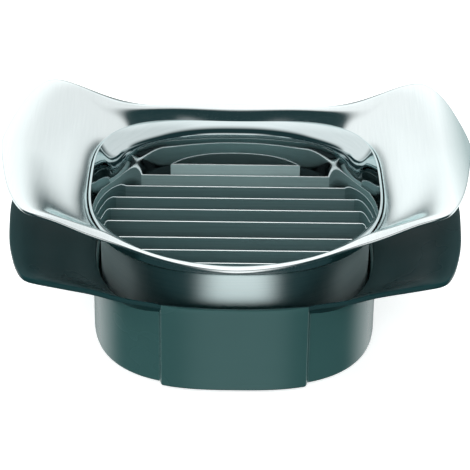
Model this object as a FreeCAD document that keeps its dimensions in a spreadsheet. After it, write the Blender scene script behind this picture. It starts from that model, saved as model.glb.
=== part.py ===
import FreeCAD, Part
import math
import os

# Two-piece hand slicer: a pressed steel blade frame with two swept handles,
# standing in a plastic base cup with a matching winged tray.
# Millimetres, +Z up, origin at the centre of the resting face.

doc = FreeCAD.newDocument("EggSlicer")
sheet = doc.addObject("Spreadsheet::Sheet", "Dims")

DIMS = [
    # steel plate
    ("plate_half_width", 74.0), ("plate_half_depth", 56.7), ("plate_sheet", 1.0),
    ("rim_z", 46.8), ("handle_z", 60.6),
    # crisp upper edge of the opening
    ("lip_half_x", 45.8), ("lip_half_y", 49.7), ("lip_power", 2.93),
    ("lip_z", 43.4), ("lip_saddle", 4.5),
    # straight part of the throat, measured on the bore of the blade ring
    ("bore_half_x", 41.0), ("bore_half_y", 45.6), ("bore_power", 2.4),
    ("ring_wall", 0.8), ("ring_fit", 0.35), ("throat_z", 33.0),
    ("ring_bottom_z", 21.0), ("band_bottom_z", 19.0),
    # blades
    ("blade_thick", 0.5), ("blade_high", 8.0), ("blade_top_z", 31.0), ("edge_high", 1.2),
    ("blade_row_1", 41.25), ("blade_row_2", 33.25), ("blade_row_3", 25.25),
    ("blade_row_4", 17.25), ("blade_row_5", 9.25), ("blade_row_6", 1.25),
    ("blade_row_7", -9.25), ("blade_row_8", -17.25), ("blade_row_9", -25.25),
    ("blade_row_10", -33.25), ("blade_row_11", -41.25),
    # winged tray of the base
    ("tray_half_width", 72.0), ("tray_half_depth", 49.6), ("tray_thick", 1.7),
    ("tray_rim_z", 28.3), ("tray_handle_z", 38.0),
    ("mouth_half_x", 44.7), ("mouth_half_y", 48.3), ("mouth_power", 2.6), ("mouth_z", 24.5),
    ("mouth_rise", 3.7),
    # cup
    ("cup_half_x", 45.5), ("cup_half_y", 48.7), ("cup_power", 2.84), ("cup_wall", 1.7),
    ("cup_bottom_z", 0.3), ("cup_floor", 2.5), ("panel_half_x", 22.3), ("panel_proud", 2.2),
    ("panel_top_z", 29.3),
    # rib insert
    ("deck_z", 18.7), ("deck_thick", 2.0), ("rib_top_z", 25.5), ("rib_wide", 4.8),
    ("skirt_thick", 1.8),
    # non-slip ring
    ("grip_half_x", 41.0), ("grip_half_y", 43.0), ("grip_wide", 4.0), ("grip_high", 1.6),
]
ROW = {}
for i, (name, value) in enumerate(DIMS):
    sheet.set("A%d" % (i + 1), name)
    sheet.set("B%d" % (i + 1), repr(value))
    sheet.setAlias("B%d" % (i + 1), name)
doc.recompute()


def v(name):
    return float(sheet.get(name))


# ---------------------------------------------------------------- curves
def spline(xs, ys):
    """Natural cubic through the table, returned as a function."""
    n = len(xs)
    hh = [xs[i + 1] - xs[i] for i in range(n - 1)]
    al = [0.0] * n
    for i in range(1, n - 1):
        al[i] = 3 * (ys[i + 1] - ys[i]) / hh[i] - 3 * (ys[i] - ys[i - 1]) / hh[i - 1]
    l = [1.0] * n
    mu = [0.0] * n
    z = [0.0] * n
    for i in range(1, n - 1):
        l[i] = 2 * (xs[i + 1] - xs[i - 1]) - hh[i - 1] * mu[i - 1]
        mu[i] = hh[i] / l[i]
        z[i] = (al[i] - hh[i - 1] * z[i - 1]) / l[i]
    c = [0.0] * n
    b = [0.0] * (n - 1)
    d = [0.0] * (n - 1)
    for j in range(n - 2, -1, -1):
        c[j] = z[j] - mu[j] * c[j + 1]
        b[j] = (ys[j + 1] - ys[j]) / hh[j] - hh[j] * (c[j + 1] + 2 * c[j]) / 3
        d[j] = (c[j + 1] - c[j]) / (3 * hh[j])

    def f(q):
        k = 0
        while k < n - 2 and q > xs[k + 1]:
            k += 1
        e = q - xs[k]
        return ys[k] + e * (b[k] + e * (c[k] + e * d[k]))
    return f


def super_r(a, b, n, th):
    return 1.0 / ((abs(math.cos(th)) / a) ** n + (abs(math.sin(th)) / b) ** n) ** (1.0 / n)


def super_xy(a, b, n, th):
    r = super_r(a, b, n, th)
    return r * math.cos(th), r * math.sin(th)


# outline of one quarter of the winged plate, for a 74 x 56.7 half size
OUT = [(0, 56.7), (6, 56.3), (12, 55.3), (18, 53.9), (24, 52.0), (30, 49.9), (36, 48.4),
       (42, 47.8), (48, 47.6), (54, 47.4), (58.5, 47.2), (61.6, 46.4), (63.7, 44.7),
       (65.3, 42.2), (67.0, 38.4), (68.4, 34.2), (70.2, 27.0), (71.6, 19.5), (72.8, 12.0),
       (73.7, 5.0), (74.0, 0.0)]
OUT_Z = [(0, 46.8), (6, 46.9), (12, 47.2), (18, 47.7), (24, 48.4), (30, 49.4), (36, 50.9),
         (42, 52.8), (48, 55.2), (54, 57.8), (58, 59.2), (62, 60.1), (66, 60.5), (70, 60.6),
         (74, 60.6)]
TRAY = [(0, 49.6), (6, 49.45), (12, 48.95), (18, 48.2), (21, 47.85), (24, 47.75), (27, 47.85),
        (30, 47.95), (36, 47.9), (42, 47.6), (48, 47.5), (54, 47.5), (59.5, 47.3), (62.6, 46.7),
        (64.4, 45.3), (65.8, 42.8), (67.3, 38.5), (68.5, 33.6), (69.9, 26.4), (70.8, 19.0),
        (71.4, 11.6), (71.85, 5.0), (72.0, 0.0)]
TRAY_Z = [(0, 28.3), (10, 28.3), (18, 28.4), (21, 28.9), (24, 29.7), (27, 30.3), (30, 30.8),
          (36, 32.0), (42, 33.6), (48, 34.9), (54, 36.1), (60, 37.2), (64, 37.7), (72, 38.0)]


def polar(table, sx, sy):
    """Radius of the outline as a function of angle, first quadrant, mirrored."""
    pts = [(x * sx, y * sy) for x, y in table]
    ths = [math.atan2(y, x) for x, y in pts]
    rs = [math.hypot(x, y) for x, y in pts]
    ths, rs = zip(*sorted(zip(ths, rs)))
    # mirrored neighbours keep the curve square to both axes
    ths = [-t for t in reversed(ths[1:6])] + list(ths) + [math.pi - t for t in reversed(ths[-6:-1])]
    rs = list(reversed(rs[1:6])) + list(rs) + list(reversed(rs[-6:-1]))
    f = spline(ths, rs)

    def g(th):
        c, s_ = abs(math.cos(th)), abs(math.sin(th))
        return f(math.atan2(s_, c))
    return g


def heights(table, lo, hi):
    x0, z0 = table[0]
    z1 = table[-1][1]
    xs = [-x for x, z in reversed(table[1:4])] + [x for x, z in table]
    zs = [z for x, z in reversed(table[1:4])] + [z for x, z in table]
    zs = [lo + (z - z0) * (hi - lo) / (z1 - z0) for z in zs]
    return spline(xs, zs)


plate_r = polar(OUT, v("plate_half_width") / 74.0, v("plate_half_depth") / 56.7)
plate_z = heights(OUT_Z, v("rim_z"), v("handle_z"))
tray_r = polar(TRAY, v("tray_half_width") / 72.0, v("tray_half_depth") / 49.6)
tray_z = heights(TRAY_Z, v("tray_rim_z"), v("tray_handle_z"))
# rise of the plate from the opening to its edge: over the handles, and over the narrow rims
G_WIDE = spline([-.05, 0, .04, .08, .15, .3, .5, .7, .85, .95, 1.0, 1.05],
                [-.13, 0, .10, .18, .28, .43, .63, .845, .957, .997, 1.0, 0.998])
G_RIM = spline([-.1, 0, .1, .2, .33, .5, .67, .85, 1.0, 1.05],
               [-.28, 0, .27, .51, .76, .93, .985, 1.0, 1.0, 1.0])
G2 = spline([-.1, 0, .15, .35, .6, .8, .93, 1.0, 1.06],
            [-.16, 0, .20, .43, .70, .89, .975, 1.0, 1.01])
FLARE = spline([-.08, 0, .04, .09, .15, .22, .30, .40, .55, .75, 1.0, 1.2],
               [1.6, 1, .72, .48, .28, .135, .05, .012, 0, 0, 0, 0])
# the side walls lean in evenly instead
LEAN = spline([-.08, 0, .1, .25, .4, .55, .75, .9, 1.0, 1.2],
              [1.12, 1, .85, .64, .45, .28, .105, .03, 0, 0])


def lip_z(x):
    return v("lip_z") + v("lip_saddle") * (x / v("lip_half_x")) ** 2


def throat_rows(th, bottom):
    """Points down the bore at one angle, from the crisp upper edge to the bottom."""
    xt, yt = super_xy(v("lip_half_x"), v("lip_half_y"), v("lip_power"), th)
    xb, yb = super_xy(v("bore_half_x"), v("bore_half_y"), v("bore_power"), th)
    zt = lip_z(xt)
    zb = v("throat_z")
    rows = []
    w = min(1.0, max(0.0, (abs(math.sin(th)) - 0.40) / 0.45))
    w = w * w * (3 - 2 * w)
    for u in (0, .03, .07, .12, .18, .26, .36, .5, .7, 1.0):
        f = max(0.0, FLARE(u) * w + LEAN(u) * (1 - w))
        rows.append((xb + (xt - xb) * f, yb + (yt - yb) * f, zt + (zb - zt) * u))
    for u in (.08, .2, .4, .6, .8, .92, 1.0):
        rows.append((xb, yb, zb + (bottom - zb) * u))
    return rows


def throat_out(th, dist, bottom):
    """The same points moved away from the bore, square to its wall."""
    step = 0.01
    a0, a1, mid = (throat_rows(t, bottom) for t in (th - step, th + step, th))
    col = []
    for j in range(len(mid)):
        j0, j1 = max(0, j - 1), min(len(mid) - 1, j + 1)
        du = FreeCAD.Vector(*a1[j]) - FreeCAD.Vector(*a0[j])
        dv = FreeCAD.Vector(*mid[j1]) - FreeCAD.Vector(*mid[j0])
        n = dv.cross(du)
        n.normalize()
        if n.x * mid[j][0] + n.y * mid[j][1] < 0:
            n = n * -1.0
        p = FreeCAD.Vector(*mid[j]) + n * dist
        col.append((p.x, p.y, mid[j][2] if j == len(mid) - 1 else p.z))
    return col


def plate_rows(th):
    off = v("ring_wall") + v("ring_fit")
    throat = throat_out(th, off, v("band_bottom_z"))
    xi, yi, zi = throat[0]
    r = plate_r(th)
    xo, yo = r * math.cos(th), r * math.sin(th)
    zo = plate_z(abs(xo))
    run = math.hypot(xo - xi, yo - yi)
    w = min(1.0, max(0.0, (run - 7.0) / 15.0))
    w = w * w * (3 - 2 * w)
    rows = []
    for q in (1.0, .97, .92, .85, .76, .66, .55, .44, .34, .25, .17, .11, .06, .03):
        rise = G_RIM(q) * (1 - w) + G_WIDE(q) * w
        rows.append((xi + (xo - xi) * q, yi + (yo - yi) * q, zi + (zo - zi) * rise))
    return rows + throat


def tray_rows(th):
    xi, yi = super_xy(v("mouth_half_x"), v("mouth_half_y"), v("mouth_power"), th)
    q = min(1.0, abs(xi) / 34.0)
    zi = v("mouth_z") + v("mouth_rise") * (1 - q * q * (3 - 2 * q))
    r = tray_r(th)
    xo, yo = r * math.cos(th), r * math.sin(th)
    zo = tray_z(abs(xo))
    rows = []
    for q in (1.0, .96, .9, .8, .68, .55, .42, .3, .2, .12, .05, 0.0):
        rows.append((xi + (xo - xi) * q, yi + (yo - yi) * q, zi + (zo - zi) * G2(q)))
    return rows


# ---------------------------------------------------------------- sheet solids
HALF = 72
EXTRA = 5


def offset_grid(rows_of, dist):
    """Sheet skin on the other side, one thickness along the surface normal."""
    out = []
    step = math.pi / HALF / 4
    for k in range(-EXTRA, HALF + 1 + EXTRA):
        th = math.pi * k / HALF
        a0 = rows_of(th - step)
        a1 = rows_of(th + step)
        mid = rows_of(th)
        col = []
        for j in range(len(mid)):
            j0, j1 = max(0, j - 1), min(len(mid) - 1, j + 1)
            du = FreeCAD.Vector(*a1[j]) - FreeCAD.Vector(*a0[j])
            dv = FreeCAD.Vector(*mid[j1]) - FreeCAD.Vector(*mid[j0])
            n = du.cross(dv)
            n.normalize()
            col.append(FreeCAD.Vector(*mid[j]) + n * dist)
        out.append(col)
    return out


def half_grid(rows_of):
    return [[FreeCAD.Vector(*p) for p in rows_of(math.pi * k / HALF)]
            for k in range(-EXTRA, HALF + 1 + EXTRA)]


def clean(g):
    """Puts the two ends of a half grid exactly on the y = 0 plane."""
    for col in (g[EXTRA], g[-1 - EXTRA]):
        for p in col:
            p.y = 0.0
    return g


def skin(g):
    s = Part.BSplineSurface()
    s.interpolate(g)
    # the grid runs a little past both ends, and is cut back to them
    u0 = s.parameter(g[EXTRA][len(g[0]) // 2])[0]
    u1 = s.parameter(g[-1 - EXTRA][len(g[0]) // 2])[0]
    a, b, c, d = s.bounds()
    s.segment(u0, u1, c, d)
    return s


def ruled(c0, c1):
    return Part.makeRuledSurface(c0, c1)


def sheet_solid(top, bottom):
    """Closed solid between two half grids, mirrored across y = 0."""
    st, sb = skin(top), skin(bottom)
    faces = [st.toShape(), sb.toShape()]
    t0, t1, t2, t3 = st.bounds()
    b0, b1, b2, b3 = sb.bounds()
    e_t0 = st.vIso(t2).toShape()
    e_b0 = sb.vIso(b2).toShape()
    e_t1 = st.vIso(t3).toShape()
    e_b1 = sb.vIso(b3).toShape()
    faces.append(ruled(e_t0, e_b0))
    faces.append(ruled(e_t1, e_b1))
    mirrored = []
    for f in faces:
        mirrored.append(f.mirror(FreeCAD.Vector(0, 0, 0), FreeCAD.Vector(0, 1, 0)))
    shell = Part.makeShell(faces + mirrored)
    shell.sewShape()
    solid = Part.makeSolid(Part.Shell(shell.Faces))
    if solid.Volume < 0:
        solid.reverse()
    return solid


def loop_wire(a, b, n, z, count=96):
    pts = []
    for k in range(count):
        x, y = super_xy(a, b, n, 2 * math.pi * k / count)
        pts.append(FreeCAD.Vector(x, y, z))
    c = Part.BSplineCurve()
    c.interpolate(pts, PeriodicFlag=True)
    return Part.Wire([c.toShape()])


def column(a, b, n, z0, z1):
    f = Part.Face(loop_wire(a, b, n, z0))
    return f.extrude(FreeCAD.Vector(0, 0, z1 - z0))


def feature(label, shape):
    o = doc.addObject("Part::Feature", label)
    o.Shape = shape
    o.Label = label
    o.Placement = FreeCAD.Placement()
    return o


def plane(body, role):
    for f in body.Origin.OriginFeatures:
        if f.Role == role:
            return f


nodes = []

# ---------------------------------------------------------------- blades
HALF_CHORD = ("(Dims.bore_half_x + Dims.ring_wall) * pow(1 - pow(abs(Dims.blade_row_%d) / "
              "(Dims.bore_half_y + Dims.ring_wall); Dims.bore_power); 1 / Dims.bore_power) - 0.25")
for i in range(1, 12):
    body = doc.addObject("PartDesign::Body", "blade_%02d" % i)
    body.Label = "blade_%02d" % i
    sk = body.newObject("Sketcher::SketchObject", "blade_%02d_profile" % i)
    sk.AttachmentSupport = [(plane(body, "YZ_Plane"), "")]
    sk.MapMode = "FlatFace"
    w = v("blade_thick") / 2.0
    top = v("blade_high")
    eh = v("edge_high")
    p = [(-w, eh), (-w, top), (w, top), (w, eh), (0, 0)]
    for j in range(5):
        q = p[(j + 1) % 5]
        sk.addGeometry(Part.LineSegment(FreeCAD.Vector(p[j][0], p[j][1], 0),
                                        FreeCAD.Vector(q[0], q[1], 0)), False)
    import Sketcher
    for j in range(5):
        sk.addConstraint(Sketcher.Constraint("Coincident", j, 2, (j + 1) % 5, 1))
    sk.addConstraint(Sketcher.Constraint("Vertical", 0))
    sk.addConstraint(Sketcher.Constraint("Horizontal", 1))
    sk.addConstraint(Sketcher.Constraint("Vertical", 2))
    sk.addConstraint(Sketcher.Constraint("Coincident", 3, 2, -1, 1))
    sk.addConstraint(Sketcher.Constraint("Equal", 3, 4))
    c1 = sk.addConstraint(Sketcher.Constraint("DistanceX", 1, 1, 1, 2, v("blade_thick")))
    c2 = sk.addConstraint(Sketcher.Constraint("DistanceY", 3, 2, 2, 1, v("blade_high")))
    c3 = sk.addConstraint(Sketcher.Constraint("DistanceY", 3, 2, 3, 1, v("edge_high")))
    sk.setExpression("Constraints[%d]" % c1, "Dims.blade_thick")
    sk.setExpression("Constraints[%d]" % c2, "Dims.blade_high")
    sk.setExpression("Constraints[%d]" % c3, "Dims.edge_high")
    pad = body.newObject("PartDesign::Pad", "blade_%02d_strip" % i)
    pad.Profile = sk
    pad.Midplane = True
    pad.Length = 50
    pad.setExpression("Length", "2 * (" + (HALF_CHORD % i) + ")")
    body.setExpression("Placement.Base.y", "Dims.blade_row_%d" % i)
    body.setExpression("Placement.Base.z", "Dims.blade_top_z - Dims.blade_high")
    nodes.append(body)
doc.recompute()

# ---------------------------------------------------------------- steel plate
top = clean(half_grid(plate_rows))
low = clean(offset_grid(plate_rows, 1.0))
probe = low[HALF // 2][0].z - top[HALF // 2][0].z
side = v("plate_sheet") if probe < 0 else -v("plate_sheet")
low = clean(offset_grid(plate_rows, side))
for k in range(len(low)):
    low[k][-1].z = v("band_bottom_z")
plate = sheet_solid(top, low)
nodes.append(feature("steel_wing_plate", plate))

# ---------------------------------------------------------------- blade ring


def ring_rows(th):
    return throat_rows(th, v("ring_bottom_z"))


def ring_outer(th):
    return throat_out(th, v("ring_wall"), v("ring_bottom_z"))


ring = sheet_solid(clean(half_grid(ring_rows)), clean(half_grid(ring_outer)))
slots = []
for i in range(1, 12):
    y = v("blade_row_%d" % i)
    slots.append(Part.makeBox(120, v("blade_thick") + 0.06, v("blade_high") + 0.06,
                              FreeCAD.Vector(-60, y - v("blade_thick") / 2 - 0.03,
                                             v("blade_top_z") - v("blade_high") - 0.03)))
ring = ring.cut(Part.makeCompound(slots))
nodes.append(feature("blade_ring", ring.Solids[0] if len(ring.Solids) == 1 else ring))

# ---------------------------------------------------------------- tray of the base
ttop = clean(half_grid(tray_rows))
tlow = [[FreeCAD.Vector(p.x, p.y, p.z - v("tray_thick")) for p in col] for col in ttop]
tray = sheet_solid(ttop, tlow)
nodes.append(feature("base_wing_tray", tray))

# ---------------------------------------------------------------- cup
zb = v("cup_bottom_z")
cx, cy, cn = v("cup_half_x"), v("cup_half_y"), v("cup_power")
wall = v("cup_wall")
ph = v("panel_half_x")
pp = v("panel_proud")
ceiling = v("panel_top_z")
foot = 0.8


def drum(a, b, n, ch, z1):
    """Column with a small bevel round its lower edge."""
    lo_w = loop_wire(a - ch, b - ch, n, zb)
    hi_w = loop_wire(a, b, n, zb + foot)
    lower = Part.makeLoft([lo_w, hi_w], True, True)
    return lower.fuse(column(a, b, n, zb + foot, z1))


body_col = drum(cx, cy, cn, 0.6, ceiling)
panel_col = drum(cx, cy + pp, cn, 0.6, ceiling)
slab = Part.makeBox(2 * ph, 200, 60, FreeCAD.Vector(-ph, -100, -5))
solid = body_col.fuse(panel_col.common(slab))
inner = column(cx - wall, cy - wall, cn, zb + v("cup_floor"), ceiling + 5)
slab_in = Part.makeBox(2 * (ph - wall), 200, 60, FreeCAD.Vector(-(ph - wall), -100, zb + v("cup_floor")))
pocket = column(cx - wall, cy + pp - wall, cn, zb + v("cup_floor"), ceiling + 5).common(slab_in)
solid = solid.cut(inner.fuse(pocket))
# the wall ends on the underside of the tray
cover_rows = [[FreeCAD.Vector(p.x, p.y, p.z - 0.02) for p in col] for col in tlow]
for col in cover_rows:
    d = FreeCAD.Vector(col[-1].x, col[-1].y, 0)
    d.normalize()
    col[-1] = col[-1] - d * 4.0 - FreeCAD.Vector(0, 0, 0.6)
cover_top = [[FreeCAD.Vector(p.x, p.y, 90.0) for p in col] for col in cover_rows]
cover = sheet_solid(clean(cover_rows), clean(cover_top))
solid = solid.cut(cover)
# groove for the non-slip ring
ga, gb, gw, gh = v("grip_half_x"), v("grip_half_y"), v("grip_wide"), v("grip_high")
groove = column(ga, gb, cn, -1, gh).cut(column(ga - gw, gb - gw, cn, -1, gh))
solid = solid.cut(groove)
nodes.append(feature("base_cup", solid.Solids[0] if len(solid.Solids) == 1 else solid))

# ---------------------------------------------------------------- non-slip ring
grip = column(ga - 0.05, gb - 0.05, cn, 0, gh - 0.03).cut(
    column(ga - gw + 0.05, gb - gw + 0.05, cn, -1, gh + 1))
nodes.append(feature("grip_ring", grip.Solids[0]))

# ---------------------------------------------------------------- rib insert
ia, ib = cx - wall - 0.15, cy - wall - 0.15
dz, dt = v("deck_z"), v("deck_thick")
floor_z = zb + v("cup_floor")
deck = column(ia, ib, cn, floor_z, dz)
deck = deck.cut(column(ia - v("skirt_thick"), ib - v("skirt_thick"), cn, floor_z - 1, dz - dt))
deck_f = feature("insert_deck", deck)
rows = [v("blade_row_%d" % i) for i in range(1, 12)]
pieces = [deck_f]
for i in range(1, 11):
    rib = doc.addObject("Part::Box", "insert_rib_%02d" % i)
    rib.Length, rib.Width, rib.Height = 60, 4.8, 7
    y = "((Dims.blade_row_%d + Dims.blade_row_%d) / 2)" % (i, i + 1)
    half = ("(Dims.bore_half_x - 1.4) * pow(1 - pow((abs" + y + " + Dims.rib_wide / 2) / "
            "(Dims.bore_half_y - 1.0); Dims.bore_power); 1 / Dims.bore_power)")
    rib.setExpression("Length", "2 * " + half)
    rib.setExpression("Width", "Dims.rib_wide")
    rib.setExpression("Height", "Dims.rib_top_z - Dims.deck_z + 0.5")
    rib.setExpression("Placement.Base.x", "-1 * " + half)
    rib.setExpression("Placement.Base.y", y + " - Dims.rib_wide / 2")
    rib.setExpression("Placement.Base.z", "Dims.deck_z - 0.5")
    pieces.append(rib)
insert = doc.addObject("Part::MultiFuse", "rib_insert")
insert.Shapes = pieces
insert.Label = "rib_insert"
nodes.append(insert)
doc.recompute()

# ---------------------------------------------------------------- checks and files
for o in doc.Objects:
    if "Invalid" in o.State or "Error" in o.State:
        raise RuntimeError("bad object " + o.Label)
os.makedirs("parts", exist_ok=True)
for o in nodes:
    s = o.Shape
    if s.isNull() or not s.isValid() or s.Volume <= 0:
        raise RuntimeError("bad shape " + o.Label)
    b = s.optimalBoundingBox(False, False)
    print("%-18s solids %d vol %9.1f  x %.1f..%.1f y %.1f..%.1f z %.1f..%.1f" % (
        o.Label, len(s.Solids), s.Volume, b.XMin, b.XMax, b.YMin, b.YMax, b.ZMin, b.ZMax))
    s.exportStep("parts/" + o.Label + ".step")
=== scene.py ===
import math

import bpy
import numpy as np
from mathutils import Matrix, Vector


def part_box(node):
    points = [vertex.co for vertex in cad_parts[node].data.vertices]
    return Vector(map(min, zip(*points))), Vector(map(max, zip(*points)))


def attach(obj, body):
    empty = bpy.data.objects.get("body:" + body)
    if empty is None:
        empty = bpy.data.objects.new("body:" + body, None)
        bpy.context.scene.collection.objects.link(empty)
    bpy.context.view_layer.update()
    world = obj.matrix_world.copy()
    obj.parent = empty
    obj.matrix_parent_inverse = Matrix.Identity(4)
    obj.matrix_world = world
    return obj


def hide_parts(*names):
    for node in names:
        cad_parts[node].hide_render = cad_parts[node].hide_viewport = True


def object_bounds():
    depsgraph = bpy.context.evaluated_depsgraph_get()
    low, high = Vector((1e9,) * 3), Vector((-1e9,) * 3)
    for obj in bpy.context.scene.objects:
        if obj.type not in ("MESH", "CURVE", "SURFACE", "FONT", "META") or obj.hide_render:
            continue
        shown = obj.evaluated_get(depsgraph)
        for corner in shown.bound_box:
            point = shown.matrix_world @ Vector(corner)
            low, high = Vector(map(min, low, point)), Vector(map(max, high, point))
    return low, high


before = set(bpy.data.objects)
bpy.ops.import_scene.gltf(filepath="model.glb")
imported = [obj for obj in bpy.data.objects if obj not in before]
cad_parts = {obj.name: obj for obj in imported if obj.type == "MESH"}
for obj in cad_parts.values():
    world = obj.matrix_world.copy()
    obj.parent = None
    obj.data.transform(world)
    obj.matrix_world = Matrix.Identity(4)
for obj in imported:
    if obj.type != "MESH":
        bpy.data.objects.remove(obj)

cad_lo, cad_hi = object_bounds()
MM = 0.001
TAU = 2.0 * math.pi


def half_size(node):
    lo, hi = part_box(node)
    return [max(abs(lo[k]), abs(hi[k])) / MM for k in range(2)] + [lo.z / MM, hi.z / MM]


PLATE = half_size("steel_wing_plate")
RING = half_size("blade_ring")
TRAY = half_size("base_wing_tray")
CUP = half_size("base_cup")
GRIP = half_size("grip_ring")
INSERT = half_size("rib_insert")

# ------------------------------------------------------------------ curves
def spline(xs, ys):
    """Natural cubic through a table, for arrays."""
    n = len(xs)
    xs, ys = [float(q) for q in xs], [float(q) for q in ys]
    h = [xs[i + 1] - xs[i] for i in range(n - 1)]
    al, l, mu, z = [0.0] * n, [1.0] * n, [0.0] * n, [0.0] * n
    for i in range(1, n - 1):
        al[i] = 3 * (ys[i + 1] - ys[i]) / h[i] - 3 * (ys[i] - ys[i - 1]) / h[i - 1]
    for i in range(1, n - 1):
        l[i] = 2 * (xs[i + 1] - xs[i - 1]) - h[i - 1] * mu[i - 1]
        mu[i] = h[i] / l[i]
        z[i] = (al[i] - h[i - 1] * z[i - 1]) / l[i]
    c, b, d = [0.0] * n, [0.0] * (n - 1), [0.0] * (n - 1)
    for j in range(n - 2, -1, -1):
        c[j] = z[j] - mu[j] * c[j + 1]
        b[j] = (ys[j + 1] - ys[j]) / h[j] - h[j] * (c[j + 1] + 2 * c[j]) / 3
        d[j] = (c[j + 1] - c[j]) / (3 * h[j])
    X, Y, B, C, D = (np.array(q) for q in (xs, ys, b, c, d))

    def f(q):
        q = np.asarray(q, float)
        k = np.clip(np.searchsorted(X, q, side="left") - 1, 0, n - 2)
        e = q - X[k]
        return Y[k] + e * (B[k] + e * (C[k] + e * D[k]))
    return f


def super_r(a, b, n, th):
    return 1.0 / ((np.abs(np.cos(th)) / a) ** n + (np.abs(np.sin(th)) / b) ** n) ** (1.0 / n)


OUT = [(0, 56.7), (6, 56.3), (12, 55.3), (18, 53.9), (24, 52.0), (30, 49.9), (36, 48.4),
       (42, 47.8), (48, 47.6), (54, 47.4), (58.5, 47.2), (61.6, 46.4), (63.7, 44.7),
       (65.3, 42.2), (67.0, 38.4), (68.4, 34.2), (70.2, 27.0), (71.6, 19.5), (72.8, 12.0),
       (73.7, 5.0), (74.0, 0.0)]
OUT_Z = [(0, 46.8), (6, 46.9), (12, 47.2), (18, 47.7), (24, 48.4), (30, 49.4), (36, 50.9),
         (42, 52.8), (48, 55.2), (54, 57.8), (58, 59.2), (62, 60.1), (66, 60.5), (70, 60.6),
         (74, 60.6)]
TRAY_OUT = [(0, 49.6), (6, 49.45), (12, 48.95), (18, 48.2), (21, 47.85), (24, 47.75), (27, 47.85),
            (30, 47.95), (36, 47.9), (42, 47.6), (48, 47.5), (54, 47.5), (59.5, 47.3), (62.6, 46.7),
            (64.4, 45.3), (65.8, 42.8), (67.3, 38.5), (68.5, 33.6), (69.9, 26.4), (70.8, 19.0),
            (71.4, 11.6), (71.85, 5.0), (72.0, 0.0)]
TRAY_Z = [(0, 28.3), (10, 28.3), (18, 28.4), (21, 28.9), (24, 29.7), (27, 30.3), (30, 30.8),
          (36, 32.0), (42, 33.6), (48, 34.9), (54, 36.1), (60, 37.2), (64, 37.7), (72, 38.0)]


def polar(table, sx, sy):
    pts = [(x * sx, y * sy) for x, y in table]
    pairs = sorted((math.atan2(y, x), math.hypot(x, y)) for x, y in pts)
    ths, rs = [p[0] for p in pairs], [p[1] for p in pairs]
    ths2 = [-t for t in reversed(ths[1:6])] + ths + [math.pi - t for t in reversed(ths[-6:-1])]
    rs2 = list(reversed(rs[1:6])) + rs + list(reversed(rs[-6:-1]))
    f = spline(ths2, rs2)
    return lambda th: f(np.arctan2(np.abs(np.sin(th)), np.abs(np.cos(th))))


def heights(table):
    xs = [-x for x, z in reversed(table[1:4])] + [x for x, z in table]
    zs = [z for x, z in reversed(table[1:4])] + [z for x, z in table]
    return spline(xs, zs)


plate_r = polar(OUT, PLATE[0] / 74.01, PLATE[1] / 56.76)
plate_z = heights(OUT_Z)
tray_r = polar(TRAY_OUT, TRAY[0] / 72.0, TRAY[1] / 49.6)
tray_z = heights(TRAY_Z)
G_WIDE = spline([-.05, 0, .04, .08, .15, .3, .5, .7, .85, .95, 1.0, 1.05],
                [-.13, 0, .10, .18, .28, .43, .63, .845, .957, .997, 1.0, 0.998])
G_RIM = spline([-.1, 0, .1, .2, .33, .5, .67, .85, 1.0, 1.05],
               [-.28, 0, .27, .51, .76, .93, .985, 1.0, 1.0, 1.0])
G2 = spline([-.1, 0, .15, .35, .6, .8, .93, 1.0, 1.06],
            [-.16, 0, .20, .43, .70, .89, .975, 1.0, 1.01])
FLARE = spline([-.08, 0, .04, .09, .15, .22, .30, .40, .55, .75, 1.0, 1.2],
               [1.6, 1, .72, .48, .28, .135, .05, .012, 0, 0, 0, 0])
LEAN = spline([-.08, 0, .1, .25, .4, .55, .75, .9, 1.0, 1.2],
              [1.12, 1, .85, .64, .45, .28, .105, .03, 0, 0])

RING_WALL = 0.8
LIP = (45.8, 49.7, 2.93)
BORE = (41.0, 45.6, 2.4)
THROAT_Z = 33.0
OFF = RING_WALL + 0.35


def lip_z(x):
    return 43.4 + 4.5 * (x / 45.8) ** 2


def throat(th, bottom, us, straight):
    """Grid of points down the bore: [angle, row, xyz]."""
    rt, rb = super_r(*LIP, th), super_r(*BORE, th)
    xt, yt, xb, yb = rt * np.cos(th), rt * np.sin(th), rb * np.cos(th), rb * np.sin(th)
    zt = lip_z(xt)
    rows = []
    w = np.clip((np.abs(np.sin(th)) - 0.40) / 0.45, 0, 1)
    w = w * w * (3 - 2 * w)
    for u in us:
        f = np.maximum(0.0, float(FLARE(u)) * w + float(LEAN(u)) * (1 - w))
        rows.append(np.stack([xb + (xt - xb) * f, yb + (yt - yb) * f, zt + (THROAT_Z - zt) * u], -1))
    for s in straight:
        rows.append(np.stack([xb, yb, THROAT_Z + (bottom - THROAT_Z) * s + 0 * xb], -1))
    return np.stack(rows, 1)


def throat_out(dist, th, bottom, us, straight):
    """The same points moved away from the bore, square to its wall."""
    g = throat(th, bottom, us, straight)
    n = skin_normals(g)
    if np.sum(n[:, 5, :2] * g[:, 5, :2]) < 0:
        n = -n
    out = g + n * dist
    out[:, -1, 2] = bottom
    return out


def skin_normals(grid):
    """Unit normals of a grid that is closed in its first axis."""
    du = np.roll(grid, -1, 0) - np.roll(grid, 1, 0)
    dv = np.empty_like(grid)
    dv[:, 1:-1] = grid[:, 2:] - grid[:, :-2]
    dv[:, 0] = grid[:, 1] - grid[:, 0]
    dv[:, -1] = grid[:, -1] - grid[:, -2]
    n = np.cross(du, dv)
    return n / np.linalg.norm(n, axis=2, keepdims=True)


def fillet(a, corner, b, k=4):
    """Rows of points that round a corner, from a to b."""
    out = []
    for s in np.linspace(0, 1, k + 1):
        out.append(a * (1 - s) ** 2 + corner * 2 * s * (1 - s) + b * s * s)
    return out


def unit(v):
    return v / np.linalg.norm(v, axis=-1, keepdims=True)


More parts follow.
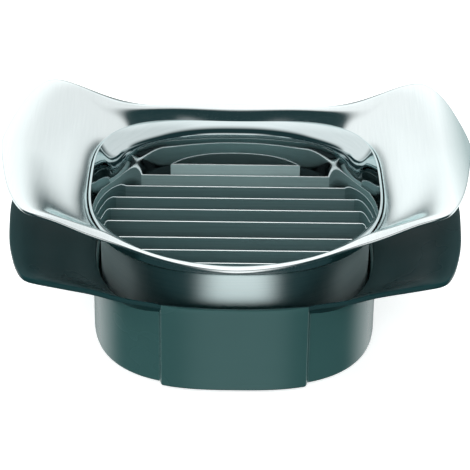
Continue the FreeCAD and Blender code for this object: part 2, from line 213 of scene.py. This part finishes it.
def closed_profile(top, low, r_start, r_end):
    """Rows of one closed ring profile: down the top skin and back up the low skin, both ends rounded."""
    rows = []
    T, L = top, low

    def end(T0, T1, L0, L1, r):
        eT, eL, nd = unit(T1 - T0), unit(L1 - L0), unit(L0 - T0)
        return (fillet(L0 + eL * r, L0, L0 - nd * r), fillet(T0 + nd * r, T0, T0 + eT * r))
    lo_part, hi_part = end(T[:, 0], T[:, 1], L[:, 0], L[:, 1], r_start)
    rows += lo_part + hi_part
    rows += [T[:, j] for j in range(1, T.shape[1] - 1)]
    hi2, lo2 = end(T[:, -1], T[:, -2], L[:, -1], L[:, -2], r_end)
    # walk on from the top skin, over the end, to the low skin
    rows += [p for p in reversed(lo2)]
    rows += [p for p in reversed(hi2)]
    rows += [L[:, j] for j in range(L.shape[1] - 2, 0, -1)]
    return np.stack(rows, 1)


def mesh_object(name, verts, faces, flat=(), mats=None, face_mat=None):
    me = bpy.data.meshes.new(name)
    me.from_pydata([tuple(v) for v in (np.asarray(verts) * MM)], [], faces)
    me.update()
    me.polygons.foreach_set("use_smooth", [True] * len(me.polygons))
    for i in flat:
        me.polygons[i].use_smooth = False
    o = bpy.data.objects.new(name, me)
    bpy.context.scene.collection.objects.link(o)
    for m in mats or []:
        me.materials.append(m)
    if face_mat is not None:
        me.polygons.foreach_set("material_index", face_mat)
    return o


def loft_ring(grid):
    """Vertices and quads of a closed profile carried round a closed path."""
    n, k, _ = grid.shape
    verts = grid.reshape(-1, 3)
    faces = []
    for i in range(n):
        i2 = (i + 1) % n
        for j in range(k):
            j2 = (j + 1) % k
            faces.append((i * k + j, i * k + j2, i2 * k + j2, i2 * k + j))
    return verts, faces


def outward(verts, faces):
    """Turns every face over if the closed mesh's signed volume is negative."""
    v = np.asarray(verts)
    vol = 0.0
    for f in faces:
        for a in range(1, len(f) - 1):
            vol += np.dot(v[f[0]], np.cross(v[f[a]], v[f[a + 1]]))
    return faces if vol > 0 else [tuple(reversed(f)) for f in faces]


# ------------------------------------------------------------------ materials
def node(nt, kind, x=0, y=0, **values):
    n = nt.nodes.new(kind)
    n.location = (x, y)
    for k, v in values.items():
        setattr(n, k, v)
    return n


def new_material(name):
    m = bpy.data.materials.new(name)
    m.use_nodes = True
    nt = m.node_tree
    nt.nodes.clear()
    out = node(nt, "ShaderNodeOutputMaterial", 900)
    bsdf = node(nt, "ShaderNodeBsdfPrincipled", 600)
    nt.links.new(bsdf.outputs["BSDF"], out.inputs["Surface"])
    return m, nt, bsdf


def stretched_noise(nt, coords, scale, detail=3.0, rough=0.55, seed=(0, 0, 0)):
    mp = node(nt, "ShaderNodeMapping", -700)
    mp.inputs["Scale"].default_value = scale
    mp.inputs["Location"].default_value = seed
    nt.links.new(coords, mp.inputs["Vector"])
    nz = node(nt, "ShaderNodeTexNoise", -500)
    nz.inputs["Scale"].default_value = 1.0
    nz.inputs["Detail"].default_value = detail
    nz.inputs["Roughness"].default_value = rough
    nt.links.new(mp.outputs["Vector"], nz.inputs["Vector"])
    return nz.outputs["Fac"]


def mapped(nt, value, lo, hi, a=0.0, b=1.0):
    r = node(nt, "ShaderNodeMapRange", -100)
    r.inputs["From Min"].default_value = a
    r.inputs["From Max"].default_value = b
    r.inputs["To Min"].default_value = lo
    r.inputs["To Max"].default_value = hi
    nt.links.new(value, r.inputs["Value"])
    return r.outputs["Result"]


def colour_between(nt, value, c0, c1, a=0.3, b=0.7):
    r = node(nt, "ShaderNodeValToRGB", -100, 200)
    r.color_ramp.elements[0].position = a
    r.color_ramp.elements[1].position = b
    r.color_ramp.elements[0].color = (*c0, 1)
    r.color_ramp.elements[1].color = (*c1, 1)
    nt.links.new(value, r.inputs["Fac"])
    return r.outputs["Color"]


def bump(nt, value, bsdf, strength, distance):
    b = node(nt, "ShaderNodeBump", 300, -300)
    b.inputs["Strength"].default_value = strength
    b.inputs["Distance"].default_value = distance
    nt.links.new(value, b.inputs["Height"])
    nt.links.new(b.outputs["Normal"], bsdf.inputs["Normal"])
    return b


def steel(name, c0, c1, grain, r_lo, r_hi, bump_s, bump_d, aniso=0.0, tangent_axis=None, smudge=14.0,
          metal=1.0, far_edge_painted_shade=0.0):
    m, nt, bsdf = new_material(name)
    tc = node(nt, "ShaderNodeTexCoord", -950)
    fine = stretched_noise(nt, tc.outputs["Object"], grain, 3.0, 0.6)
    broad = stretched_noise(nt, tc.outputs["Object"], (smudge, smudge, smudge), 2.0, 0.5, (3.1, 1.7, 0.4))
    mix = node(nt, "ShaderNodeMath", -300, 0, operation="MULTIPLY_ADD")
    mix.inputs[1].default_value = 0.65
    nt.links.new(fine, mix.inputs[0])
    half = node(nt, "ShaderNodeMath", -300, -150, operation="MULTIPLY")
    half.inputs[1].default_value = 0.35
    nt.links.new(broad, half.inputs[0])
    nt.links.new(half.outputs[0], mix.inputs[2])
    col = colour_between(nt, mix.outputs[0], c0, c1)
    if far_edge_painted_shade:
        # painted shade: the base colour is darkened towards the tip of one handle, standing in for the shade at that
        # edge
        sx = node(nt, "ShaderNodeSeparateXYZ", -700, -500)
        nt.links.new(tc.outputs["Object"], sx.inputs[0])
        painted_shade_tone = node(nt, "ShaderNodeMix", 100, 250, data_type="RGBA", blend_type="MULTIPLY")
        painted_shade_tone.inputs[7].default_value = (far_edge_painted_shade, far_edge_painted_shade * 1.15, far_edge_painted_shade * 1.15, 1)
        nt.links.new(mapped(nt, sx.outputs[0], 0.0, 1.0, 0.0655, 0.0725), painted_shade_tone.inputs[0])
        nt.links.new(col, painted_shade_tone.inputs[6])
        col = painted_shade_tone.outputs[2]
    nt.links.new(col, bsdf.inputs["Base Color"])
    nt.links.new(mapped(nt, mix.outputs[0], r_lo, r_hi, 0.3, 0.7), bsdf.inputs["Roughness"])
    bsdf.inputs["Metallic"].default_value = metal
    bsdf.inputs["Specular Tint"].default_value = (0.93, 1.0, 1.0, 1)
    bsdf.inputs["Anisotropic"].default_value = aniso
    if tangent_axis:
        t = node(nt, "ShaderNodeTangent", 300, -500, direction_type="RADIAL", axis=tangent_axis)
        nt.links.new(t.outputs["Tangent"], bsdf.inputs["Tangent"])
        bsdf.inputs["Anisotropic Rotation"].default_value = 0.25
    if bump_s:
        bump(nt, fine, bsdf, bump_s, bump_d)
    return m


def plastic(name, c0, c1, r_lo, r_hi, spec, grain=2600.0, bump_s=0.12, bump_d=0.00004, coat=0.0, coat_r=0.2):
    m, nt, bsdf = new_material(name)
    tc = node(nt, "ShaderNodeTexCoord", -950)
    fine = stretched_noise(nt, tc.outputs["Object"], (grain, grain, grain), 2.0, 0.5)
    broad = stretched_noise(nt, tc.outputs["Object"], (22.0, 22.0, 30.0), 3.0, 0.5, (1.3, 0.2, 2.2))
    nt.links.new(colour_between(nt, broad, c0, c1), bsdf.inputs["Base Color"])
    nt.links.new(mapped(nt, broad, r_lo, r_hi, 0.3, 0.7), bsdf.inputs["Roughness"])
    bsdf.inputs["Specular IOR Level"].default_value = spec
    bsdf.inputs["Specular Tint"].default_value = (0.70, 1.0, 1.0, 1)
    bsdf.inputs["Coat Weight"].default_value = coat
    bsdf.inputs["Coat Roughness"].default_value = coat_r
    bump(nt, fine, bsdf, bump_s, bump_d)
    return m


# painted shade: the last argument darkens the base colour at the far tip of one wing
M_WING = steel("satin_wing_steel_painted_edge_shade", (0.80, 0.845, 0.85), (0.86, 0.90, 0.905), (2600.0, 60.0, 240.0),
               0.13, 0.19, 0.03, 0.00001, far_edge_painted_shade=0.42)
M_BAND = steel("brushed_band_steel", (0.63, 0.76, 0.77), (0.77, 0.87, 0.87), (26.0, 26.0, 3400.0),
               0.34, 0.42, 0.04, 0.00001, aniso=0.92, tangent_axis="Z")
M_RING = steel("polished_ring_steel", (0.60, 0.67, 0.68), (0.67, 0.73, 0.74), (60.0, 60.0, 1500.0),
               0.035, 0.06, 0.0, 0.0)
M_BLADE = steel("ground_blade_steel", (0.30, 0.49, 0.50), (0.46, 0.65, 0.66), (20.0, 900.0, 1500.0),
                0.30, 0.40, 0.05, 0.00001, metal=0.75)
# painted light: lighter, less metallic copies of the blade steel for the two rear blades, standing in for the
# brighter light that falls on them
M_BLADE_PAINTED_LIT = [steel("ground_blade_steel_rear_painted_lit", (0.60, 0.80, 0.80), (0.74, 0.92, 0.92), (20.0, 900.0, 1500.0),
                0.34, 0.44, 0.05, 0.00001, metal=0.30),
          steel("ground_blade_steel_second_painted_lit", (0.46, 0.66, 0.66), (0.60, 0.80, 0.80), (20.0, 900.0, 1500.0),
                0.32, 0.42, 0.05, 0.00001, metal=0.50)]
# painted highlight: a near-white, mostly non-metal finish on each blade's polished top edge stands in for the bright
# reflection there
M_BLADE_TOP_PAINTED_HIGHLIGHT = steel("polished_blade_back_painted_highlight", (0.93, 0.97, 0.97), (0.97, 1.0, 1.0), (30.0, 900.0, 2600.0),
               0.16, 0.24, 0.0, 0.0, metal=0.30)
M_CUP = plastic("satin_cup_plastic", (0.046, 0.122, 0.120), (0.054, 0.137, 0.135), 0.22, 0.30, 0.42)
# the tray's base colour is darker than the cup plastic's; part of that darkness is painted shade for the steel plate
# above it
M_TRAY_PAINTED_SHADE = plastic("satin_tray_plastic_painted_shade", (0.011, 0.042, 0.046), (0.015, 0.056, 0.060), 0.24, 0.32, 0.10)
M_INSERT = plastic("matt_insert_plastic", (0.010, 0.015, 0.017), (0.015, 0.021, 0.023), 0.5, 0.62, 0.3)
M_GRIP = plastic("grip_rubber", (0.012, 0.012, 0.012), (0.02, 0.02, 0.02), 0.7, 0.85, 0.25, grain=1500.0,
                 bump_s=0.3, bump_d=0.0001)


def put(o, body, slot_name, *nodes):
    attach(o, body)
    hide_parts(*nodes)
    return o


# ------------------------------------------------------------------ winged steel plate
N = 480
TH = np.linspace(0, TAU, N, endpoint=False)
EDGE_R = 0.34


def plate_top():
    us = np.concatenate([np.linspace(0, .4, 21)[1:], np.linspace(.4, 1, 9)[1:]])
    straight = [.15, .35, .55, .75, .9, .96]
    body = throat_out(OFF, TH, PLATE[2], [0.0] + list(us), straight + [1.0])
    inner = body[:, 0]
    r = plate_r(TH)
    xo, yo = r * np.cos(TH), r * np.sin(TH)
    zo = plate_z(np.abs(xo))
    run = np.hypot(xo - inner[:, 0], yo - inner[:, 1])
    q_first = 1 - (EDGE_R * 1.35) / run
    rows = [np.stack([xo, yo, zo], -1)]
    s = np.concatenate([[1.0, .985, .96], np.linspace(.93, .12, 34), [.09, .06, .035, .015]])
    w = np.clip((run - 7.0) / 15.0, 0, 1)
    w = w * w * (3 - 2 * w)
    for k in s:
        q = q_first * k
        rise = G_RIM(q) * (1 - w) + G_WIDE(q) * w
        rows.append(np.stack([inner[:, 0] + (xo - inner[:, 0]) * q, inner[:, 1] + (yo - inner[:, 1]) * q,
                              inner[:, 2] + (zo - inner[:, 2]) * rise], -1))
    return np.concatenate([np.stack(rows, 1), body], 1)


top = plate_top()
nrm = skin_normals(top)
if nrm[0, 2, 2] > 0:
    nrm = -nrm
low = top + nrm * 1.0
low[:, -1, 2] = PLATE[2]
prof = closed_profile(top, low, EDGE_R, 0.25)
verts, faces = loft_ring(prof)
faces = outward(verts, faces)
k_rows = prof.shape[1]
n_plate_rows = 42
k_top = top.shape[1]
mat_rows = []
for j in range(k_rows):
    # the outside of the throat is the brushed band
    mat_rows.append(1 if j > 10 + k_top - 4 and j < 10 + k_top - 2 + 10 + (k_top - n_plate_rows) - 6 else 0)
face_mat = []
for i in range(N):
    face_mat += mat_rows
plate = mesh_object("steel_wing_plate_detail", verts, faces, mats=[M_WING, M_BAND], face_mat=face_mat)
put(plate, "blade_frame", "plate_steel", "steel_wing_plate")

# ------------------------------------------------------------------ blade ring
us = list(np.linspace(0, .4, 27)) + list(np.linspace(.4, 1.0, 8)[1:])
st = [.2, .4, .6, .8, .95, 1.0]
rin = throat(TH, RING[2], us, st)
rout = throat_out(RING_WALL, TH, RING[2], us, st)
verts, faces = loft_ring(closed_profile(rin, rout, 0.22, 0.15))
ring = mesh_object("blade_ring_detail", verts, outward(verts, faces), mats=[M_RING])
put(ring, "blade_frame", "ring_steel", "blade_ring")


# ------------------------------------------------------------------ blades
def blade(name, face):
    lo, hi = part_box(name)
    x0, x1 = lo.x / MM, hi.x / MM
    y0, y1 = lo.y / MM, hi.y / MM
    z0, z1 = lo.z / MM, hi.z / MM
    w = (y1 - y0) / 2
    yc = (y0 + y1) / 2
    r = 0.07
    sec = [(0.0, z0), (w, z0 + 1.2), (w, z0 + 1.3), (w, z1 - 1.5), (w, z1 - r - .1)]
    for k in range(5):
        a = math.pi / 2 * k / 4
        sec.append((w - r + r * math.cos(a), z1 - r + r * math.sin(a)))
    sec.append((0.0, z1))
    sec += [(-p[0], p[1]) for p in reversed(sec[1:-1])]
    xs = [x0, x0 + .1] + list(np.linspace(x0 + 3, x1 - 3, 9)) + [x1 - .1, x1]
    k = len(sec)
    verts, faces = [], []
    for x in xs:
        verts += [(x, yc + p[0], p[1]) for p in sec]
    for i in range(len(xs) - 1):
        for j in range(k):
            j2 = (j + 1) % k
            faces.append((i * k + j, i * k + j2, (i + 1) * k + j2, (i + 1) * k + j))
    faces.append(tuple(range(k - 1, -1, -1)))
    faces.append(tuple((len(xs) - 1) * k + j for j in range(k)))
    faces = outward(verts, faces)
    # painted highlight: the faces along the top of the blade get the near-white crown material
    painted_highlight_crown = [1 if all(verts[q][2] > z1 - 0.6 * r for q in f) else 0 for f in faces]
    o = mesh_object(name + "_detail", verts, faces, flat=(len(faces) - 1, len(faces) - 2),
                    mats=[face, M_BLADE_TOP_PAINTED_HIGHLIGHT], face_mat=painted_highlight_crown)
    put(o, "blade_frame", "blade_steel", name)


for i in range(1, 12):
    # the first two blades take the painted-light copies of the blade steel
    blade("blade_%02d" % i, M_BLADE_PAINTED_LIT[i - 1] if i < 3 else M_BLADE)

# ------------------------------------------------------------------ winged tray of the base
MOUTH = (44.7, 48.3, 2.6)
TRAY_T = 1.7


def mouth_z(x):
    q = np.minimum(1.0, np.abs(x) / 34.0)
    return 24.5 + 3.7 * (1 - q * q * (3 - 2 * q))


def tray_at(th, q):
    rm = super_r(*MOUTH, th)
    xi, yi = rm * np.cos(th), rm * np.sin(th)
    r = tray_r(th)
    xo, yo = r * np.cos(th), r * np.sin(th)
    zi, zo = mouth_z(xi), tray_z(np.abs(xo))
    return np.stack([xi + (xo - xi) * q, yi + (yo - yi) * q, zi + (zo - zi) * G2(q)], -1)


rm = super_r(*MOUTH, TH)
run = tray_r(TH) - rm
qf = 1 - 0.62 / run
ql = 0.45 / run
rows = [tray_at(TH, 1.0 + 0 * TH)]
for s in [1.0, .985, .96] + list(np.linspace(.92, .08, 26)) + [.04, .015, 0.0]:
    rows.append(tray_at(TH, ql + (qf - ql) * s))
rows.append(tray_at(TH, 0 * TH))
ttop = np.stack(rows, 1)
tlow = ttop.copy()
tlow[..., 2] -= TRAY_T
verts, faces = loft_ring(closed_profile(ttop, tlow, 0.5, 0.4))
tray = mesh_object("base_wing_tray_detail", verts, outward(verts, faces), mats=[M_TRAY_PAINTED_SHADE])
put(tray, "base", "tray_plastic", "base_wing_tray")

# ------------------------------------------------------------------ cup
PANEL_X, PANEL_P = 22.3, 2.2
CUP_A, CUP_B, CUP_N = CUP[0], CUP[1] - PANEL_P, 2.84
WALL, FLOOR, FOOT, BEVEL = 1.7, 2.5, 0.8, 0.6
Z0 = CUP[2]


def smooth(t):
    t = np.clip(t, 0, 1)
    return t * t * (3 - 2 * t)


def cup_angles():
    base = list(np.linspace(0, TAU, 320, endpoint=False))
    for sx in (1, -1):
        for sy in (1, -1):
            for dx in np.linspace(-1.6, 1.6, 25):
                x = PANEL_X + dx
                y = CUP_B * (1 - (x / CUP_A) ** CUP_N) ** (1 / CUP_N) + PANEL_P / 2
                base.append(math.atan2(sy * y, sx * x) % TAU)
    base = sorted(base)
    out = [base[0]]
    for b in base[1:]:
        if b - out[-1] > 0.0012:
            out.append(b)
    return np.array(out)


TC = cup_angles()


def cup_r(th, off, width=2.1):
    rb = super_r(CUP_A + off, CUP_B + off, CUP_N, th)
    rp = super_r(CUP_A + off, CUP_B + PANEL_P + off, CUP_N, th)
    x = np.abs(rb * np.cos(th))
    s = smooth((PANEL_X + off + width / 2 - x) / width)
    return rb + (rp - rb) * s


def cup_row(off, z, width=2.1):
    r = cup_r(TC, off, width)
    return np.stack([r * np.cos(TC), r * np.sin(TC), z + 0 * TC], -1)


def tray_under(th, r):
    rmm = super_r(*MOUTH, th)
    q = (r - rmm) / (tray_r(th) - rmm)
    xi, xo = rmm * np.cos(th), tray_r(th) * np.cos(th)
    zi, zo = mouth_z(xi), tray_z(np.abs(xo))
    return zi + (zo - zi) * G2(np.clip(q, -0.05, 1.05)) - TRAY_T - 0.03


ga, gb, gw, gh = 41.0, 43.0, 4.0, 1.6


def plain_row(a, b, z):
    r = super_r(a, b, CUP_N, TC)
    return np.stack([r * np.cos(TC), r * np.sin(TC), z + 0 * TC], -1)


rows = []
for s in (.12, .5, .85):
    rows.append(plain_row((ga - gw) * s, (gb - gw) * s, Z0))
rows += [plain_row(ga - gw - .2, gb - gw - .2, Z0), plain_row(ga - gw, gb - gw, Z0 + .2),
         plain_row(ga - gw, gb - gw, gh), plain_row(ga, gb, gh), plain_row(ga, gb, Z0 + .2),
         plain_row(ga + .2, gb + .2, Z0)]
# rounded foot
for k in range(7):
    a = math.pi / 2 * k / 6
    rows.append(cup_row(-BEVEL + BEVEL * math.sin(a), Z0 + FOOT - FOOT * math.cos(a)))
r_out = cup_r(TC, 0.0)
# the panel carries on up past the tray, as a lip in front of its edge
outside = r_out > tray_r(TC) + 0.45
z_top = np.where(outside, CUP[3], tray_under(TC, r_out))
for s in (.04, .12, .25, .4, .55, .7, .85, .95):
    row = cup_row(0.0, 0.0)
    row[:, 2] = (Z0 + FOOT) + (z_top - .25 - Z0 - FOOT) * s
    rows.append(row)
row = cup_row(0.0, 0.0)
row[:, 2] = z_top - .2
rows.append(row)
row = cup_row(-0.06, 0.0)
row[:, 2] = z_top - .06
rows.append(row)
row = cup_row(-0.2, 0.0)
row[:, 2] = z_top
rows.append(row)
r_in = cup_r(TC, -WALL)
r_mid = np.where(outside, tray_r(TC) + 0.12, r_out * .6 + r_in * .4)
z_low = tray_under(TC, np.minimum(r_mid, tray_r(TC)))
z_mid = np.where(outside, CUP[3], z_low)
for dr, zz in ((.15, z_mid), (0.0, z_mid - .15 * outside), (0.0, z_low)):
    rr = r_mid + dr * outside
    rows.append(np.stack([rr * np.cos(TC), rr * np.sin(TC), zz + 0 * TC], -1))
z_in = tray_under(TC, np.clip(r_in, super_r(*MOUTH, TC), tray_r(TC)))
row = cup_row(-WALL + .2, 0.0)
row[:, 2] = z_in
rows.append(row)
for s in (1.0, .9, .5, .1):
    row = cup_row(-WALL, 0.0)
    row[:, 2] = (Z0 + FLOOR + 1.2) + (z_in - .3 - Z0 - FLOOR - 1.2) * s
    rows.append(row)
for k in range(1, 5):
    a = math.pi / 2 * k / 4
    rows.append(cup_row(-WALL - 1.2 + 1.2 * math.cos(a), Z0 + FLOOR + 1.2 - 1.2 * math.sin(a)))
for s in (.85, .5, .12):
    rows.append(plain_row((ga - gw) * s, (gb - gw) * s, Z0 + FLOOR))
grid = np.stack(rows, 1)
n, k, _ = grid.shape
verts = [tuple(p) for p in grid.reshape(-1, 3)] + [(0, 0, Z0), (0, 0, Z0 + FLOOR)]
faces = []
for i in range(n):
    i2 = (i + 1) % n
    for j in range(k - 1):
        faces.append((i * k + j, i * k + j + 1, i2 * k + j + 1, i2 * k + j))
    faces.append((n * k, i * k, i2 * k))
    faces.append((i * k + k - 1, n * k + 1, i2 * k + k - 1))
cup = mesh_object("base_cup_detail", verts, outward(verts, faces), mats=[M_CUP])
put(cup, "base", "cup_plastic", "base_cup")

# ------------------------------------------------------------------ non-slip ring
TG = np.linspace(0, TAU, 240, endpoint=False)


def ell_row(a, b, z, th=None, n_=CUP_N):
    th = TG if th is None else th
    r = super_r(a, b, n_, th)
    return np.stack([r * np.cos(th), r * np.sin(th), z + 0 * th], -1)


a0, b0 = GRIP[0], GRIP[1]
rows = []
for (d, z) in [(0, .3), (0, 1.3), (.25, 1.54), (3.65, 1.54), (3.9, 1.3), (3.9, .3), (3.7, .08), (3.3, 0),
               (2.5, 0), (2.3, .35), (1.6, .35), (1.4, 0), (.6, 0), (.2, .08)]:
    rows.append(ell_row(a0 - d, b0 - d, GRIP[2] + z))
verts, faces = loft_ring(np.stack(rows, 1))
grip = mesh_object("grip_ring_detail", verts, outward(verts, faces), mats=[M_GRIP])
put(grip, "base", "grip_rubber", "grip_ring")

# ------------------------------------------------------------------ ribbed insert
ia, ib = INSERT[0], INSERT[1]
zf, deck = INSERT[2], 18.7
TI = np.linspace(0, TAU, 240, endpoint=False)
rows = []
prof_pts = []
for s in (.15, .5, .85):
    prof_pts.append(("s", s, deck))
prof_pts += [("d", 1.0, deck), ("d", .55, deck - .08), ("d", .2, deck - .3), ("d", 0.0, deck - .8),
             ("d", 0.0, (deck + zf) / 2), ("d", 0.0, zf + .3), ("d", .3, zf), ("d", 1.5, zf),
             ("d", 1.8, zf + .3), ("d", 1.8, (deck + zf) / 2), ("d", 1.8, deck - 3.0),
             ("d", 2.1, deck - 2.3), ("d", 2.8, deck - 2.0)]
for s in (.85, .5, .15):
    prof_pts.append(("s", s, deck - 2.0))
for kind, d, z in prof_pts:
    rows.append(ell_row(ia * d, ib * d, z, TI) if kind == "s" else ell_row(ia - d, ib - d, z, TI))
grid = np.stack(rows, 1)
n, k, _ = grid.shape
verts = [tuple(p) for p in grid.reshape(-1, 3)] + [(0, 0, deck), (0, 0, deck - 2.0)]
faces = []
for i in range(n):
    i2 = (i + 1) % n
    for j in range(k - 1):
        faces.append((i * k + j, i * k + j + 1, i2 * k + j + 1, i2 * k + j))
    faces.append((n * k, i * k, i2 * k))
    faces.append((i * k + k - 1, n * k + 1, i2 * k + k - 1))
faces = outward(verts, faces)
rows_y = []
for i in range(1, 12):
    lo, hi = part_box("blade_%02d" % i)
    rows_y.append((lo.y + hi.y) / 2 / MM)
flat = []
for i in range(10):
    yc = (rows_y[i] + rows_y[i + 1]) / 2
    w = 2.4
    h = (BORE[0] - 1.4) * (1 - ((abs(yc) + w) / (BORE[1] - 1.0)) ** BORE[2]) ** (1 / BORE[2])
    zb, zt, r = deck - .5, INSERT[3], .55
    sec = [(w, zb), (w, zt - r - .3)]
    for q in range(5):
        a = math.pi / 2 * q / 4
        sec.append((w - r + r * math.cos(a), zt - r + r * math.sin(a)))
    sec += [(-p[0], p[1]) for p in reversed(sec)]
    xs = [(-h, 1.0), (-h + .15, .35), (-h + .5, 0.0)] + [(t, 0.0) for t in np.linspace(-h + 3, h - 3, 7)] \
        + [(h - .5, 0.0), (h - .15, .35), (h, 1.0)]
    start = len(verts)
    kk = len(sec)
    new = []
    for x, drop in xs:
        for p in sec:
            sy = math.copysign(max(0.0, abs(p[0]) - drop * .3), p[0])
            verts.append((x, yc + sy, p[1] - (drop * .5 if p[1] > zb + .1 else 0.0)))
    for a in range(len(xs) - 1):
        for b in range(kk):
            b2 = (b + 1) % kk
            new.append((start + a * kk + b, start + a * kk + b2, start + (a + 1) * kk + b2, start + (a + 1) * kk + b))
    new.append(tuple(start + b for b in range(kk - 1, -1, -1)))
    new.append(tuple(start + (len(xs) - 1) * kk + b for b in range(kk)))
    new = outward(verts, new)
    flat += [len(faces) + len(new) - 1, len(faces) + len(new) - 2]
    faces += new
insert = mesh_object("rib_insert_detail", verts, faces, flat=flat, mats=[M_INSERT])
put(insert, "base", "insert_plastic", "rib_insert")

# ------------------------------------------------------------------ camera
E, DIST, FPX = math.radians(29.51), 652.94, 2015.28
PSI, RHO = math.radians(0.3016), math.radians(0.826)
TGT = Vector((0.007, 0.0, 26.843))
fwd = Vector((math.sin(PSI) * math.cos(E), math.cos(PSI) * math.cos(E), -math.sin(E)))
right = Vector((math.cos(PSI), -math.sin(PSI), 0))
up = right.cross(fwd)
r2 = right * math.cos(RHO) + up * math.sin(RHO)
u2 = -right * math.sin(RHO) + up * math.cos(RHO)
loc = (TGT - fwd * DIST) * MM
cam_data = bpy.data.cameras.new("camera")
cam_data.sensor_width = 36.0
cam_data.lens = FPX * 36.0 / 470.0
cam_data.clip_start = 0.01
cam_data.clip_end = 50
cam = bpy.data.objects.new("camera", cam_data)
bpy.context.scene.collection.objects.link(cam)
cam.matrix_world = Matrix(((r2.x, u2.x, -fwd.x, loc.x), (r2.y, u2.y, -fwd.y, loc.y),
                           (r2.z, u2.z, -fwd.z, loc.z), (0, 0, 0, 1)))
bpy.context.scene.camera = cam

# ------------------------------------------------------------------ floor, world and lights
sc = bpy.context.scene
sc.view_settings.view_transform = "Standard"
sc.view_settings.look = "None"

fm, nt, bsdf = new_material("pale_floor")
bsdf.inputs["Base Color"].default_value = (0.92, 0.93, 0.93, 1)
bsdf.inputs["Roughness"].default_value = 0.9
bsdf.inputs["Specular IOR Level"].default_value = 0.0
bsdf.inputs["Emission Color"].default_value = (1, 1, 1, 1)
bsdf.inputs["Emission Strength"].default_value = 0.60
fme = bpy.data.meshes.new("floor")
S = 6.0
fme.from_pydata([(-S, -S, 0), (S, -S, 0), (S, S, 0), (-S, S, 0)], [], [(0, 1, 2, 3)])
floor = bpy.data.objects.new("floor", fme)
floor.location.z = cad_lo.z - 0.0002
sc.collection.objects.link(floor)
fme.materials.append(fm)
floor.visible_glossy = False
floor.visible_diffuse = False

world = bpy.data.worlds.new("studio")
sc.world = world
world.use_nodes = True
wt = world.node_tree
wt.nodes.clear()
wout = node(wt, "ShaderNodeOutputWorld", 1400)
bg = node(wt, "ShaderNodeBackground", 1200)
wt.links.new(bg.outputs[0], wout.inputs[0])
tc = node(wt, "ShaderNodeTexCoord", -1400)
sep = node(wt, "ShaderNodeSeparateXYZ", -1200)
wt.links.new(tc.outputs["Generated"], sep.inputs[0])
X, Y, Z = sep.outputs


def wmath(op, a, b=None, c=None, clamp=False):
    n = node(wt, "ShaderNodeMath", operation=op)
    n.use_clamp = clamp
    for k, v in enumerate((a, b, c)):
        if v is None:
            continue
        if isinstance(v, (int, float)):
            n.inputs[k].default_value = v
        else:
            wt.links.new(v, n.inputs[k])
    return n.outputs[0]


def ramp(value, a, b, lo=0.0, hi=1.0):
    """Smooth step of value from a to b."""
    n = node(wt, "ShaderNodeMapRange", interpolation_type="SMOOTHSTEP")
    n.inputs["From Min"].default_value = a
    n.inputs["From Max"].default_value = b
    n.inputs["To Min"].default_value = lo
    n.inputs["To Max"].default_value = hi
    wt.links.new(value, n.inputs["Value"])
    return n.outputs["Result"]


def falling(value, a, b):
    return wmath("SUBTRACT", 1.0, ramp(value, a, b))


# height of a direction measured over the top, from the front horizon (0) to the back one (180)
beta = wmath("MULTIPLY", wmath("ARCTAN2", Z, wmath("MULTIPLY", Y, -1.0)), 180.0 / math.pi)
azim = wmath("MULTIPLY", wmath("ARCTAN2", X, wmath("MULTIPLY", Y, -1.0)), 180.0 / math.pi)

to_left = ramp(X, -0.25, 0.10)
low_sky = wmath("ADD", wmath("MULTIPLY", falling(beta, 160, 181), to_left),
                wmath("MULTIPLY", falling(beta, 164, 187), wmath("SUBTRACT", 1.0, to_left)))
overhead = wmath("MULTIPLY", ramp(beta, 62, 100), low_sky)
below_back = wmath("MULTIPLY", falling(beta, -178, -120), ramp(beta, -181, -180.5))
side_dim = wmath("MULTIPLY", ramp(X, 0.05, 0.42, 1.0, 0.74), ramp(X, -0.45, -0.1, 0.84, 1.0))
strip = wmath("MULTIPLY", wmath("MULTIPLY", ramp(azim, -27, -4), falling(azim, 12, 32)), falling(Z, 0.05, 0.40))
strip = wmath("MULTIPLY", strip, ramp(wmath("MULTIPLY", Y, -1.0), 0.0, 0.3))
back_floor = wmath("MULTIPLY", ramp(Y, -0.02, 0.5), falling(Z, -0.12, -0.03))
back_floor = wmath("MULTIPLY", back_floor, ramp(wmath("ABSOLUTE", X), 0.15, 0.5, 0.17, 1.0))

total = wmath("MULTIPLY", wmath("MULTIPLY", overhead, side_dim), 1.25)
total = wmath("ADD", total, wmath("MULTIPLY", strip, 1.15))
total = wmath("ADD", total, wmath("MULTIPLY", back_floor, 1.3))
mixc = node(wt, "ShaderNodeMix", data_type="RGBA")
mixc.inputs[6].default_value = (0.018, 0.044, 0.048, 1)
mixc.inputs[7].default_value = (0.97, 1.0, 1.0, 1)
wt.links.new(wmath("MULTIPLY", total, 1.0, clamp=True), mixc.inputs[0])
wt.links.new(mixc.outputs[2], bg.inputs["Color"])
wt.links.new(wmath("ADD", 1.0, wmath("MAXIMUM", wmath("SUBTRACT", total, 1.0), 0.0)), bg.inputs["Strength"])


def area(name, loc, target, size, power, colour=(1, 1, 1)):
    d = bpy.data.lights.new(name, "AREA")
    d.shape = "RECTANGLE"
    d.size, d.size_y = size
    d.energy = power
    d.color = colour
    o = bpy.data.objects.new(name, d)
    sc.collection.objects.link(o)
    o.location = loc
    o.rotation_mode = "QUATERNION"
    o.rotation_quaternion = (Vector(target) - Vector(loc)).to_track_quat("-Z", "Y")
    o.visible_camera = False
    o.visible_glossy = False
    return o


area("front_fill", (-0.15, -0.9, 0.60), (0, 0, 0.03), (0.7, 0.35), 4.5)
area("left_soft", (-0.9, -0.15, 0.35), (0, 0, 0.02), (0.5, 0.5), 2.5)
area("right_soft", (0.9, -0.15, 0.35), (0, 0, 0.02), (0.5, 0.5), 2.5)
area("top_soft", (0.0, 0.15, 1.1), (0, 0, 0.03), (1.0, 1.0), 4.0)
